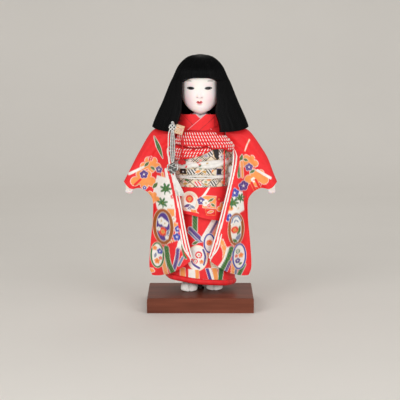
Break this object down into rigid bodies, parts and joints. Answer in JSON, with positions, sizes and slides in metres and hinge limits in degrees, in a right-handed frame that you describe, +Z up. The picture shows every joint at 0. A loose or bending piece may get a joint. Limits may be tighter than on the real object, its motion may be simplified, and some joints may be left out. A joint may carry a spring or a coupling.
{
  "type": "ichimatsu doll",
  "caption": "Standing Japanese costume doll with bobbed hair, long-sleeved patterned kimono, tied obi and tassel, on a low lacquered plinth with a hidden post.",
  "frame": {"origin": "middle of the plinth's flat underside", "axes": "+Z up, the doll faces -Y, +X is the doll's own left"},
  "size_m": [0.2716, 0.162, 0.446],
  "materials": {
    "lacquered_wood": "dark brown lacquer",
    "steel": "satin",
    "composition": "pressed wood composition, matte",
    "stuffed_cloth": "plain cotton",
    "gofun": "white shell lacquer over wood composition",
    "eye_glass": "polished",
    "hair": "black silk fibre",
    "red_crepe": "dyed silk crepe",
    "white_silk": "silk",
    "obi_brocade": "gold and black brocade",
    "shibori": "red and white tie-dye",
    "purse_brocade": "gold brocade",
    "silver_cord": "silver braid",
    "peg_wood": "plain"
  },
  "bodies": {
    "stand": {"plinth": "lacquered_wood", "post_flange": "steel", "support_post": "steel"},
    "torso": {"torso": "composition", "hip_block": "composition", "left_thigh": "stuffed_cloth", "right_thigh": "stuffed_cloth", "left_lower_leg": "gofun", "right_lower_leg": "gofun", "left_tabi": "white_silk", "right_tabi": "white_silk", "left_shoulder_peg": "peg_wood", "right_shoulder_peg": "peg_wood", "kimono_bodice": "red_crepe", "right_collar": "red_crepe", "left_collar": "red_crepe", "neckband": "red_crepe", "under_collar": "white_silk", "obi": "obi_brocade", "obiage": "shibori", "obijime_wide": "white_silk", "obijime_thin": "white_silk", "bow_knot": "obi_brocade", "left_bow_wing": "obi_brocade", "right_bow_wing": "obi_brocade", "waist_fold": "red_crepe", "kimono_skirt": "red_crepe", "hem_roll": "red_crepe", "chest_purse": "purse_brocade", "purse_cord": "red_crepe", "red_knot": "red_crepe", "red_tie": "red_crepe", "tassel_loop": "silver_cord"},
    "head": {"head": "gofun", "left_eye": "eye_glass", "right_eye": "eye_glass", "neck_peg": "peg_wood", "hair_cap": "hair", "hanging_hair": "hair"},
    "left_arm": {"left_upper_arm": "stuffed_cloth", "left_forearm": "gofun", "left_sleeve": "red_crepe", "left_undersleeve_edge": "white_silk"},
    "right_arm": {"right_upper_arm": "stuffed_cloth", "right_forearm": "gofun", "right_sleeve": "red_crepe", "right_undersleeve_edge": "white_silk"},
    "tassel": {"tassel_top_knot": "silver_cord", "tassel_cords": "silver_cord", "tassel_lower_knot": "silver_cord", "tassel_fringe": "white_silk"}
  },
  "joints": [
    {"name": "doll_lift", "type": "slide", "parent": "stand", "child": "torso", "axis": [0, 0, 1], "range_m": [0, 0.15]},
    {"name": "head_turn", "type": "hinge", "parent": "torso", "child": "head", "pos_m": [0, 0.015, 0.322], "axis": [0, 0, 1], "range_deg": [-20, 20], "deforming": ["hanging_hair"]},
    {"name": "left_arm_swing", "type": "hinge", "parent": "torso", "child": "left_arm", "pos_m": [0.0452, 0.016, 0.298], "axis": [-1, 0, 0], "range_deg": [0, 10]},
    {"name": "right_arm_swing", "type": "hinge", "parent": "torso", "child": "right_arm", "pos_m": [-0.0452, 0.016, 0.298], "axis": [-1, 0, 0], "range_deg": [0, 10]},
    {"name": "tassel_swing", "type": "hinge", "parent": "torso", "child": "tassel", "pos_m": [-0.0485, -0.0495, 0.33], "axis": [-1, 0, 0], "range_deg": [0, 25]}
  ]
}
